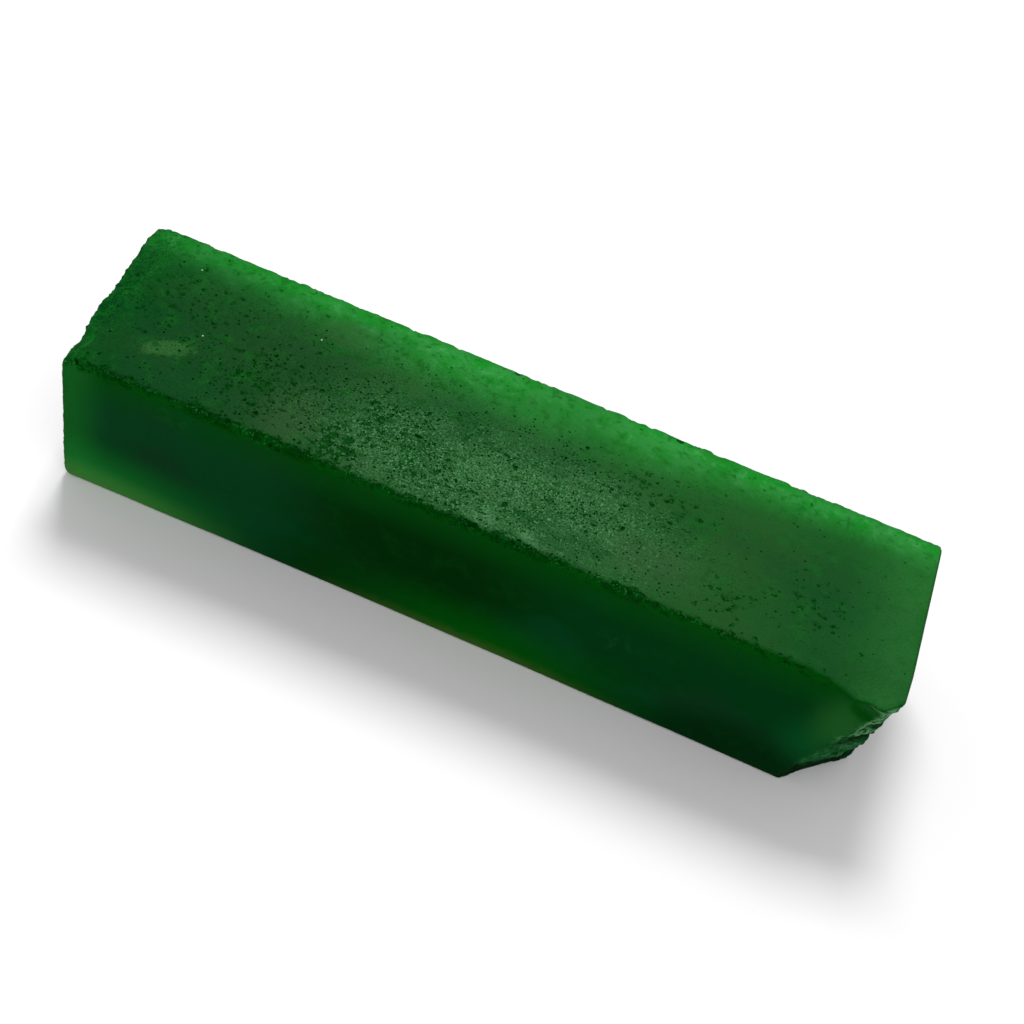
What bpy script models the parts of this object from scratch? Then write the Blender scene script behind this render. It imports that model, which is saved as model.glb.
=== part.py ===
"""Raw emerald: a bar of cloudy green stone, sawn square on its long sides, with
one rough end and one corner broken off.

Metres, +Z up, +X along the bar, +Y to its back. The bar lies on its sawn
underside and the origin is the middle of its footprint on the surface.
"""
import math
import random

import bmesh
import bpy
from mathutils import Matrix, Vector, noise

MM = 0.001

# Driving dimensions of the bar
LENGTH = 70.7 * MM
WIDTH = 17.7 * MM
HEIGHT = 13.8 * MM
END_SKEW = 1.80 * MM         # how far the rough end's front edge stands back from its rear one
END_SKEW_FADE = 11.0 * MM    # length over which the skew dies out along the bar
FRONT_HOLLOW = 0.28 * MM     # dip of the front face at mid length
SAW_WANDER = 0.08 * MM       # drift of the saw along the long faces
SAW_WANDER_LENGTH = 9.0 * MM
SAW_WANDER_ACROSS = 3.7      # how much the drift differs between the two long faces

# Edge wear: the radius along each edge, named by the two faces that meet there
EDGE_RADII = {
    ("left", "back"): 0.95 * MM,
    ("left", "front"): 0.30 * MM,
    ("right", "back"): 0.35 * MM,
    ("right", "front"): 0.35 * MM,
    ("front", "top"): 0.42 * MM,
    ("back", "top"): 0.16 * MM,
    ("right", "top"): 0.22 * MM,
    ("front", "base"): 0.20 * MM,
    ("back", "base"): 0.20 * MM,
    ("right", "base"): 0.20 * MM,
    ("left", "base"): 1.00 * MM,
}
RAGGED_EDGE = ("front", "top")
EDGE_RAGGED = 0.7            # share by which the ragged edge's radius comes and goes
EDGE_RAGGED_GRAIN = 1.9 * MM

# Broken rim along the top of the rough end
RIM_WIDTH = 2.1 * MM
RIM_DROP = 0.85 * MM
RIM_RAGGED = 0.30            # share by which its drop comes and goes
RIM_RAGGED_GRAIN = 1.3 * MM
RIM_CURVE = 1.3              # above 1 the rim hollows, at 1 it is a plain slope

# The rough end face: its relief, and where that dies out
END_RELIEF = 0.24 * MM
END_GRAIN = 2.1 * MM
END_FINE_GRAIN = 1.5 * MM
END_CALM_BASE = 1.5 * MM
END_CALM_TOP = 2.5 * MM
END_CALM_FRONT = 4.0 * MM

# Dents in the rough end, seen from above: middle, reach to each side and depth
END_DENTS = (
    (8.6 * MM, 0.9 * MM, 0.15 * MM),
    (5.7 * MM, 0.8 * MM, 0.08 * MM),
    (3.6 * MM, 2.0 * MM, 0.34 * MM),
    (0.2 * MM, 0.7 * MM, 0.10 * MM),
    (-4.0 * MM, 5.0 * MM, 0.14 * MM),
    (-5.9 * MM, 1.8 * MM, 0.28 * MM),
    (-7.7 * MM, 0.8 * MM, 0.14 * MM),
)

# Worn front right corner of the top
WORN_CORNER_X = 32.9 * MM
WORN_CORNER_LENGTH = 4.2 * MM
WORN_CORNER_REACH = 3.9 * MM
WORN_CORNER_DROP = 1.40 * MM

# Break that takes off the right end's front edge, from the top corner down.
# Its ledges run across BREAK_DOWN and overhang like roof tiles.
BREAK_TOP = Vector((34.38, -8.78, 13.8)) * MM
BREAK_NORMAL = Vector((0.700, -0.672, -0.241)).normalized()
BREAK_DOWN = Vector((-0.349, -0.028, -0.936))
BREAK_REAR = -14.0 * MM      # reach of the break's cutter along its ledges
BREAK_FRONT = 3.5 * MM
BREAK_SPAN = 7.0 * MM        # length of the ledges from the front face to the end face
BREAK_CELL_DOWN = 0.45 * MM
BREAK_CELL_ALONG = 1.1 * MM
BREAK_GRAIN = 0.13 * MM
BREAK_GRAIN_DOWN = 0.8 * MM
BREAK_GRAIN_ALONG = 3.4 * MM
LEDGE_SWAY = 0.20 * MM
LEDGE_SWAY_LENGTH = 2.6 * MM

# The ledges from the top down: place along BREAK_DOWN, height over the break's
# plane at their front ends, and the same at their rear ends
LEDGES = (
    (-4.0 * MM, 0.02 * MM, 0.00 * MM),
    (1.7 * MM, 0.19 * MM, 0.26 * MM),
    (2.0 * MM, 0.14 * MM, 0.10 * MM),
    (4.3 * MM, 0.32 * MM, -0.04 * MM),
    (5.4 * MM, 0.37 * MM, 0.04 * MM),
    (5.7 * MM, 0.40 * MM, 0.26 * MM),
    (6.1 * MM, 0.10 * MM, 0.08 * MM),
    (8.3 * MM, 0.00 * MM, 0.00 * MM),
    (8.6 * MM, 0.10 * MM, 0.42 * MM),
    (10.3 * MM, 0.12 * MM, 0.32 * MM),
    (10.6 * MM, 0.05 * MM, 0.22 * MM),
    (12.2 * MM, 0.20 * MM, 0.44 * MM),
    (12.5 * MM, 0.24 * MM, 0.68 * MM),
    (12.7 * MM, 0.16 * MM, 0.42 * MM),
    (13.1 * MM, 0.24 * MM, 0.62 * MM),
    (13.8 * MM, 0.20 * MM, 0.40 * MM),
    (14.2 * MM, 0.30 * MM, 0.68 * MM),
    (18.0 * MM, 0.30 * MM, 0.68 * MM),
)

# Chips along the long top edges: middle, length and depth of bite
FRONT_CHIPS = (
    (-25.0 * MM, 1.6 * MM, 0.30 * MM),
    (-21.6 * MM, 2.3 * MM, 0.38 * MM),
    (-16.4 * MM, 4.6 * MM, 0.60 * MM),
    (-6.3 * MM, 2.5 * MM, 0.45 * MM),
    (0.3 * MM, 3.4 * MM, 0.42 * MM),
    (4.9 * MM, 2.7 * MM, 0.50 * MM),
    (8.0 * MM, 2.6 * MM, 0.46 * MM),
    (13.0 * MM, 3.1 * MM, 0.44 * MM),
    (18.7 * MM, 1.7 * MM, 0.28 * MM),
)
BACK_CHIPS = (
    (-27.5 * MM, 2.0 * MM, 0.14 * MM),
    (-19.5 * MM, 1.6 * MM, 0.12 * MM),
    (-8.6 * MM, 3.0 * MM, 0.16 * MM),
    (2.2 * MM, 1.8 * MM, 0.12 * MM),
    (13.8 * MM, 2.4 * MM, 0.15 * MM),
    (24.0 * MM, 1.8 * MM, 0.12 * MM),
    (31.2 * MM, 1.5 * MM, 0.12 * MM),
)
CHIP_OUTSET = 1.15           # where a chip's scoop lies and how big it is, in bites
CHIP_LIFT = 0.55
CHIP_SIZE_ACROSS = 2.1
CHIP_SIZE_DOWN = 2.4
CHIP_LEAN = 0.12
CHIP_SEED = 5

# Scar below the worn corner
CORNER_SCAR = Vector((33.4, -9.40, 11.75)) * MM
CORNER_SCAR_SIZE = Vector((2.2, 1.20, 1.15)) * MM
CORNER_SCAR_TURN = 0.30

# Pits in the sawn top
PIT_COUNT = 84
PIT_SMALLEST = 0.24 * MM
PIT_LARGEST = 0.46 * MM
PIT_MARGIN = 1.6 * MM
PIT_BAND = -2.1 * MM         # the line along which the pits lie closest
PIT_SLIMMEST = 0.65          # width of the slimmest pit for its length
PIT_SMALLER = 0.75
PIT_DEPTH = 0.8              # height and lift of a pit's scoop, in radii
PIT_LIFT = 0.22
PIT_SPACING = 1.3            # least distance of two pits, in their radii
PIT_SEED = 11

# Slices of the working grid along each axis, crowded towards the ends
SLICES_X = 48
SLICES_Y = 18
SLICES_Z = 8
CROWDING = 0.45
EDGE_ROW = 0.28 * MM
CUTTER_DEPTH = 8 * MM
FLAT_GAP = 0.02 * MM         # nearer to the underside than this counts as on it
WELD_GAP = 0.004 * MM

STONE_COLOUR = (0.012, 0.130, 0.030, 1.0)
STONE_ROUGHNESS = 0.45


def clear_scene():
    for item in list(bpy.data.objects):
        bpy.data.objects.remove(item, do_unlink=True)


def stone_material():
    material = bpy.data.materials.new("cloudy_green_stone")
    material.use_nodes = True
    shader = material.node_tree.nodes["Principled BSDF"]
    shader.inputs["Base Color"].default_value = STONE_COLOUR
    shader.inputs["Roughness"].default_value = STONE_ROUGHNESS
    shader.inputs["Metallic"].default_value = 0.0
    material.diffuse_color = STONE_COLOUR
    return material


def rows(low, high, count):
    """Slicing positions between two faces: one close to each, the others crowded towards them."""
    places = [low + EDGE_ROW, high - EDGE_ROW]
    for i in range(1, count):
        share = i / count
        share -= CROWDING * math.sin(math.tau * share) / math.tau
        places.append(low + (high - low) * share)
    return places


def sliced_block():
    """The square blank, sliced along its three axes so that its faces can be worked."""
    mesh = bmesh.new()
    size = Matrix.Diagonal((LENGTH, WIDTH, HEIGHT, 1.0))
    bmesh.ops.create_cube(mesh, size=1.0, matrix=Matrix.Translation((0, 0, HEIGHT / 2)) @ size)
    slices = (
        (Vector((1, 0, 0)), rows(-LENGTH / 2, LENGTH / 2, SLICES_X)),
        (Vector((0, 1, 0)), rows(-WIDTH / 2, WIDTH / 2, SLICES_Y)),
        (Vector((0, 0, 1)), rows(0, HEIGHT, SLICES_Z)),
    )
    for axis, positions in slices:
        for position in positions:
            parts = mesh.verts[:] + mesh.edges[:] + mesh.faces[:]
            bmesh.ops.bisect_plane(mesh, geom=parts, plane_co=axis * position, plane_no=axis)
    return mesh


def rounded(depth_a, depth_b, radius):
    """Moves a point that lies within one radius of an edge onto the edge's arc."""
    if depth_a >= radius or depth_b >= radius:
        return depth_a, depth_b
    a = radius - depth_a
    b = radius - depth_b
    pull = radius / math.hypot(a, b)
    return radius - a * pull, radius - b * pull


def hump(distance, reach):
    """1 at the middle, falling smoothly to 0 at the reach."""
    share = min(1.0, abs(distance) / reach)
    return (1.0 - share * share) ** 2


def wear_edges(mesh):
    """Rounds the edges of the blank, each by its own radius."""
    for vert in mesh.verts:
        ragged = 1 + EDGE_RAGGED * noise.noise(Vector((vert.co.x / EDGE_RAGGED_GRAIN, 0, 0)))
        depth = {
            "left": vert.co.x + LENGTH / 2,
            "right": LENGTH / 2 - vert.co.x,
            "front": vert.co.y + WIDTH / 2,
            "back": WIDTH / 2 - vert.co.y,
            "base": vert.co.z,
            "top": HEIGHT - vert.co.z,
        }
        for edge, radius in EDGE_RADII.items():
            if edge == RAGGED_EDGE:
                radius *= ragged
            depth[edge[0]], depth[edge[1]] = rounded(depth[edge[0]], depth[edge[1]], radius)
        on_left = vert.co.x < 0
        on_front = vert.co.y < 0
        on_base = vert.co.z < HEIGHT / 2
        vert.co.x = depth["left"] - LENGTH / 2 if on_left else LENGTH / 2 - depth["right"]
        vert.co.y = depth["front"] - WIDTH / 2 if on_front else WIDTH / 2 - depth["back"]
        vert.co.z = depth["base"] if on_base else HEIGHT - depth["top"]


def end_place(y):
    """Where the rough end lies along the bar, at one place across it."""
    return -LENGTH / 2 + END_SKEW * (0.5 - y / WIDTH)


def shape_plan(mesh):
    """Skews and dents the rough end, hollows the front face and lets the saw wander."""
    for vert in mesh.verts:
        from_left = vert.co.x + LENGTH / 2
        toward_front = 0.5 - vert.co.y / WIDTH
        vert.co.x += END_SKEW * toward_front * max(0.0, 1.0 - from_left / END_SKEW_FADE)
        near_end = max(0.0, 1.0 - from_left / RIM_WIDTH)
        for middle, reach, depth in END_DENTS:
            vert.co.x += depth * hump(vert.co.y - middle, reach) * near_end
        along = 2 * vert.co.x / LENGTH
        wander = noise.noise(Vector((vert.co.x / SAW_WANDER_LENGTH, SAW_WANDER_ACROSS * toward_front, 0)))
        vert.co.y += FRONT_HOLLOW * toward_front * (1 - along * along) + SAW_WANDER * wander


def break_top_down(mesh):
    """Lowers the top at the broken rim of the rough end and at the worn corner."""
    for vert in mesh.verts:
        inset = max(0.0, vert.co.x - end_place(vert.co.y))
        ragged = 1 + RIM_RAGGED * noise.noise(Vector((0, vert.co.y / RIM_RAGGED_GRAIN, 0)))
        rim = RIM_DROP * ragged * max(0.0, 1 - inset / (RIM_WIDTH * ragged)) ** RIM_CURVE
        corner = WORN_CORNER_DROP
        corner *= hump(vert.co.x - WORN_CORNER_X, WORN_CORNER_LENGTH)
        corner *= hump(vert.co.y + WIDTH / 2, WORN_CORNER_REACH)
        vert.co.z *= 1 - (rim + corner) / HEIGHT


def roughen_end(mesh):
    """Gives the rough end face its flats and hollows, calmer towards its base, top and front."""
    for vert in mesh.verts:
        inset = max(0.0, vert.co.x - end_place(vert.co.y))
        if inset > RIM_WIDTH or vert.co.z < FLAT_GAP:
            continue
        fade = 1 - inset / RIM_WIDTH
        fade *= min(1.0, vert.co.z / END_CALM_BASE)
        fade *= max(0.0, min(1.0, (HEIGHT - vert.co.z) / END_CALM_TOP))
        fade *= min(1.0, (vert.co.y + WIDTH / 2) / END_CALM_FRONT)
        relief = noise.cell(vert.co / END_GRAIN) - 0.5 + noise.noise(vert.co / END_FINE_GRAIN)
        vert.co.x += END_RELIEF * relief * fade


def merge_underside(mesh):
    """Makes one flat face of the sawn underside."""
    flat = [face for face in mesh.faces if face.calc_center_median().z < FLAT_GAP]
    bmesh.ops.dissolve_faces(mesh, faces=flat, use_verts=True)


def mesh_object(name, mesh, material=None):
    bmesh.ops.recalc_face_normals(mesh, faces=mesh.faces[:])
    data = bpy.data.meshes.new(name)
    mesh.to_mesh(data)
    mesh.free()
    if material:
        data.materials.append(material)
    item = bpy.data.objects.new(name, data)
    bpy.context.scene.collection.objects.link(item)
    return item


def as_cutter(item):
    item.hide_render = True
    item.display_type = "WIRE"
    return item


def ledge_height(down, along):
    """Height of the break's surface over its mean plane at one point."""
    sway = LEDGE_SWAY * noise.noise(Vector((0, along / LEDGE_SWAY_LENGTH, 0)))
    place = min(max(down + sway, LEDGES[0][0]), LEDGES[-1][0])
    rearward = min(max(-along / BREAK_SPAN, 0.0), 1.0)
    height = 0.0
    for (start, front_a, rear_a), (end, front_b, rear_b) in zip(LEDGES, LEDGES[1:]):
        if start <= place <= end:
            share = (place - start) / (end - start)
            front = front_a + (front_b - front_a) * share
            rear = rear_a + (rear_b - rear_a) * share
            height = front + (rear - front) * rearward
    grain = Vector((down / BREAK_GRAIN_DOWN, along / BREAK_GRAIN_ALONG, 0))
    return height + BREAK_GRAIN * noise.noise(grain)


def break_rows():
    """Places along BREAK_DOWN where the break's surface is cut into rows, one at every ledge's edge."""
    places = []
    for (start, *_), (end, *_) in zip(LEDGES, LEDGES[1:]):
        count = math.ceil((end - start) / BREAK_CELL_DOWN)
        places += [start + (end - start) * i / count for i in range(count)]
    return places + [LEDGES[-1][0]]


def break_cutter():
    """A slab whose inner side is the ledged surface of the broken corner."""
    down = (BREAK_DOWN - BREAK_NORMAL * BREAK_DOWN.dot(BREAK_NORMAL)).normalized()
    side = down.cross(BREAK_NORMAL)
    cells = round((BREAK_FRONT - BREAK_REAR) / BREAK_CELL_ALONG)
    mesh = bmesh.new()
    grid = []
    for fall in break_rows():
        line = []
        for j in range(cells + 1):
            along = BREAK_REAR + (BREAK_FRONT - BREAK_REAR) * j / cells
            place = BREAK_TOP + down * fall + side * along
            line.append(mesh.verts.new(place + BREAK_NORMAL * ledge_height(fall, along)))
        grid.append(line)
    surface = []
    for upper, lower in zip(grid, grid[1:]):
        for j in range(cells):
            surface.append(mesh.faces.new((upper[j], lower[j], lower[j + 1], upper[j + 1])))
    outward = bmesh.ops.extrude_face_region(mesh, geom=surface, use_keep_orig=True)
    raised = [part for part in outward["geom"] if isinstance(part, bmesh.types.BMVert)]
    for vert in raised:
        height = BREAK_NORMAL.dot(vert.co - BREAK_TOP)
        vert.co += BREAK_NORMAL * (CUTTER_DEPTH - height)
    return as_cutter(mesh_object("cutter_break", mesh))


def add_scoop(mesh, centre, size, turn, detail=1):
    """One faceted scoop: a lump whose buried part becomes a scar or a pit."""
    matrix = Matrix.Translation(centre) @ turn @ Matrix.Diagonal((*size, 1.0))
    bmesh.ops.create_icosphere(mesh, subdivisions=detail, radius=1.0, matrix=matrix)


def add_edge_chips(mesh, chips, side, chance):
    """Scoops along one long top edge; side is -1 at the front and 1 at the back."""
    for middle, length, bite in chips:
        hollow = FRONT_HOLLOW * (1 - (2 * middle / LENGTH) ** 2) * (side < 0)
        outset = side * (WIDTH / 2 - hollow + CHIP_OUTSET * bite)
        centre = Vector((middle, outset, HEIGHT + CHIP_LIFT * bite))
        size = Vector((length / 2, CHIP_SIZE_ACROSS * bite, CHIP_SIZE_DOWN * bite))
        lean = Matrix.Rotation(chance.uniform(-CHIP_LEAN, CHIP_LEAN), 4, "Y")
        add_scoop(mesh, centre, size, lean, detail=2)


def chip_cutter():
    """Scoops along the worn edges and the scar below the worn corner."""
    chance = random.Random(CHIP_SEED)
    mesh = bmesh.new()
    add_edge_chips(mesh, FRONT_CHIPS, -1, chance)
    add_edge_chips(mesh, BACK_CHIPS, 1, chance)
    scar_turn = Matrix.Rotation(CORNER_SCAR_TURN, 4, "Y")
    add_scoop(mesh, CORNER_SCAR, CORNER_SCAR_SIZE, scar_turn, detail=2)
    return as_cutter(mesh_object("cutter_chips", mesh))


def pit_cutter():
    """Scattered pits, closest together in the band along the middle of the top."""
    chance = random.Random(PIT_SEED)
    mesh = bmesh.new()
    placed = []
    while len(placed) < PIT_COUNT:
        x = chance.uniform(-LENGTH / 2 + 2 * PIT_MARGIN + END_SKEW, LENGTH / 2 - PIT_MARGIN)
        y = chance.triangular(-WIDTH / 2 + PIT_MARGIN, WIDTH / 2 - PIT_MARGIN, PIT_BAND)
        radius = chance.uniform(PIT_SMALLEST, PIT_LARGEST) * chance.uniform(PIT_SMALLER, 1.0)
        if x > WORN_CORNER_X - WORN_CORNER_LENGTH and y < -WIDTH / 2 + WORN_CORNER_REACH + PIT_MARGIN:
            continue
        if any(math.hypot(x - a, y - b) < PIT_SPACING * (radius + r) for a, b, r in placed):
            continue
        placed.append((x, y, radius))
        size = Vector((1.0, chance.uniform(PIT_SLIMMEST, 1.0), PIT_DEPTH)) * radius
        centre = Vector((x, y, HEIGHT + PIT_LIFT * radius))
        add_scoop(mesh, centre, size, Matrix.Rotation(chance.uniform(0, math.tau), 4, "Z"))
    return as_cutter(mesh_object("cutter_pits", mesh))


def centre_on_footprint(mesh):
    """Puts the origin under the middle of the bar, on its lowest face."""
    low = Vector([min(vert.co[axis] for vert in mesh.verts) for axis in range(3)])
    high = Vector([max(vert.co[axis] for vert in mesh.verts) for axis in range(3)])
    shift = Vector((-(low.x + high.x) / 2, -(low.y + high.y) / 2, -low.z))
    bmesh.ops.translate(mesh, verts=mesh.verts[:], vec=shift)


def cut_by(item, cutter):
    cut = item.modifiers.new(cutter.name, "BOOLEAN")
    cut.operation = "DIFFERENCE"
    cut.solver = "EXACT"
    cut.object = cutter


def make_stone():
    mesh = sliced_block()
    wear_edges(mesh)
    shape_plan(mesh)
    break_top_down(mesh)
    roughen_end(mesh)
    centre_on_footprint(mesh)
    merge_underside(mesh)
    stone = mesh_object("raw_emerald", mesh, stone_material())
    for cutter in (break_cutter(), chip_cutter(), pit_cutter()):
        cut_by(stone, cutter)
    tidy = stone.modifiers.new("close_gaps", "WELD")
    tidy.merge_threshold = WELD_GAP
    return stone


clear_scene()
make_stone()
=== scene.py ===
"""Looks of a raw emerald: a sawn bar of cloudy green stone with a pitted top and one broken corner.

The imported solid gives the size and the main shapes. A finer skin is made over it with Geometry Nodes:
roughened where the stone broke, nicked along its edges, and pitted where the saw tore grains out.

Lengths are in millimetres, turned into metres by MM where an object or a tree needs them. X runs along
the bar, Y across it towards the back, and Z up. A place on the top is an (x, y), and one on the front is
an (x, z).
"""
import math
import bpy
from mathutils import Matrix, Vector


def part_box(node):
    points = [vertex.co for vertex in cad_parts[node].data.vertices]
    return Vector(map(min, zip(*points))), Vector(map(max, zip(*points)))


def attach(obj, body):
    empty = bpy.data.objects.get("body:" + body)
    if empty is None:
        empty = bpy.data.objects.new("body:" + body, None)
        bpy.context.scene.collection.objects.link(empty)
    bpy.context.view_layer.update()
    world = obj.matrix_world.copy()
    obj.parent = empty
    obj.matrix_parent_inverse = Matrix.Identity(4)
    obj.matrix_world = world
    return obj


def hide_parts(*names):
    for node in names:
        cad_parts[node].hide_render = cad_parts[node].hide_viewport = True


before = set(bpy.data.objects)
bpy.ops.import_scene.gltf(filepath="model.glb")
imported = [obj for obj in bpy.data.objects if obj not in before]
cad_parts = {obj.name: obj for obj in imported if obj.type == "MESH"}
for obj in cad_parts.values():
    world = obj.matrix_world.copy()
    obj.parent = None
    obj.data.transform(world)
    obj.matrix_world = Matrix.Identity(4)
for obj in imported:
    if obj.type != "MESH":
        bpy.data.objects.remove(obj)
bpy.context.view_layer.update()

from types import SimpleNamespace

import bmesh
import bpy
from mathutils import Euler, Vector

STONE_NODE = "raw_emerald"
MM = 0.001
LOW, HIGH = (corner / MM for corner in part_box(STONE_NODE))
# A radius that takes an oval right through the bar
THROUGH = 60.0

# The skin's mesh: its cells, the share of its faces kept, and the bend that makes an edge crisp
SKIN_CELL = 0.17
SKIN_KEPT = 0.17
CREASE = math.radians(38)
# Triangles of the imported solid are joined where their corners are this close
JOIN_REACH = 0.001

# Marks that the skin keeps for its finish
SAWN_TOP = "sawn_top"
TEARING = "tearing"
BROKEN = "broken"
WORN = "worn_edge"
SKIN_MARKS = (SAWN_TOP, TEARING, BROKEN, WORN)
PIT = "pit"

# The broken corner: its top, its plane, which way its ledges follow one another, and the way they run
BREAK_TOP = Vector((34.38, -8.78, 13.8))
BREAK_NORMAL = Vector((0.700, -0.672, -0.241)).normalized()
BREAK_DOWN = Vector((-0.349, -0.028, -0.936)).normalized()
BREAK_ALONG = BREAK_DOWN.cross(BREAK_NORMAL).normalized()

# Where along the bar something sets in, and where it is full
LEFT_RIM = (-31.5, -33.0)
BREAK_START = (20.0, 22.0)
RIGHT_END = (29.0, 30.0)
EDGE_CHIPS = (26.0, 22.0)
EDGE_NICKS = (24.0, 20.0)
FEWER_PITS = (10.0, 20.0)
# The same across it, from the back
TOP_PITS = (6.5, 2.0)
TOP_TEARS = (5.5, 1.5)
# The same up it
UNDER_SCAR = (10.4, 9.8)
UPPER_NICKS = (10.0, 12.0)
UPPER_RIM = (11.0, 12.5)

# Where the saw tore the top open: a patch's middle, its half lengths, and how torn it is
TORN_PATCHES = (
    ((-11.2, -6.6), (3.2, 3.2), 1.46),
    ((-7.5, -3.4), (4.8, 4.2), 1.10),
    ((-9.8, -1.6), (2.2, 3.4), 1.22),
    ((-3.0, -6.2), (7.0, 3.0), 1.10),
    ((-18.5, -3.6), (5.6, 5.2), 1.06),
    ((5.0, -3.5), (8.0, 4.2), 0.86),
    ((11.5, 1.0), (8.0, 3.4), 1.00),
    ((20.5, -6.0), (3.0, 2.0), 1.00),
    ((27.0, -2.8), (3.6, 3.8), 0.92),
    ((-28.0, 1.0), (7.5, 6.5), 0.83),
)
# Where the front top edge is chipped: the middle along the bar, the half length, and how chipped it is
CHIPPED_PLACES = (
    (-29.5, 3.4, 1.3),
    (-21.0, 3.0, 1.85),
    (-14.0, 2.6, 1.9),
    (-2.5, 4.5, 1.6),
    (4.5, 3.4, 1.9),
    (13.2, 2.2, 2.0),
)
# How far from that edge the chips reach
CHIP_REACH = 1.5
# How readily the top tears elsewhere, how high noise must rise to tear it, and how far readiness lowers that
TORN_ELSEWHERE = 0.42
TEAR_LEVEL = 0.747
TEAR_HELP = 0.19

# Areas of the top that are pitted, frosted with a painted sheen and mottled most: a middle and half lengths
PITTED_AREA = ((-2.0, -3.5), (32.0, 9.5))
FROST_SHEEN_AREA = ((1.2, -3.8), (18.2, 6.6))
MOTTLED_AREA = ((-3.0, -3.5), (27.0, 8.0))

# A smooth pale patch near the left end and a thin dark flaw near the right: middle, half lengths, turn
LENS_PATCH = ((-26.9, -4.0), (2.4, 0.95), 0.5)
FLAW = ((27.6, 7.1), (0.14, 0.8), 0.1)

# Smooth dusky places and pale smears on the top: a middle, half lengths and a strength
DUSKY_PLACES = (
    ((-15.6, -5.4), (2.6, 3.4), 0.5),
    ((14.0, -5.0), (3.4, 2.2), 0.4),
    ((-10.0, -7.2), (1.6, 1.0), 0.4),
    ((-15.5, 5.2), (2.6, 1.6), 0.3),
)
SMEARS = (
    ((1.4, -7.4), (1.1, 0.9), 0.6),
    ((5.1, -7.7), (1.1, 0.6), 0.6),
    ((-5.0, -0.6), (1.8, 1.2), 0.25),
)
SMEAR_TURN = -0.5

# Painted glints: tiny bright highlights, and their radius
GLINTS = (
    (-29.0, 5.6, 13.8),
    (-25.3, -1.3, 13.8),
    (-17.1, 3.4, 13.8),
    (-14.2, -8.3, 13.8),
    (8.84, -8.8, 5.45),
)
GLINT_SIZE = 0.085

# Parts of the front with a colour of their own, and its lower right darkened by painted shade: a middle and
# half lengths
DARK_CORE = ((-2.5, 7.0), (9.5, 6.0))
# Painted shade: the front's lower right, darker where it meets the floor
SHADED_FOOT = ((27.0, 0.5), (10.0, 5.0))
OLIVE_EDGE = ((32.2, 9.2), (2.6, 4.0))
TEAL_EDGE = ((30.6, 5.6), (3.0, 3.4))
PALE_SPOTS = ((14.3, 7.7), (-24.0, 11.5))
PALE_SPOT_SIZE = (1.8, 1.3)

# How far light glows into the top from its back edge
GLOW_DEPTH = 7.4

# The stone's own bending of light, its sheen, and the height of its fine grain
REFRACTION = 1.58
SHEEN = 0.005
GRAIN_HEIGHT = 0.06

# The view: a place, a turn in degrees, the lens, and the nearest that it sees
CAMERA_PLACE = (13.252, -83.311, 99.671)
CAMERA_TURN = (40.9795, -11.5368, 20.4236)
LENS = 53.886
SENSOR = 36.0
NEAREST_SEEN = 5.0

# The lamps: a place, a size and a power in watts. Then the room's own light, and the floor
LAMPS = {
    "window_behind": ((-85, 245, 420), 165, 1.85),
    "fill_front": ((120, -260, 380), 400, 0.5),
}
ROOM_LIGHT = 0.56
FLOOR_HALF = 900
FLOOR_COLOUR = (0.80, 0.79, 0.80, 1.0)
FLOOR_ROUGHNESS = 0.6


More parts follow.
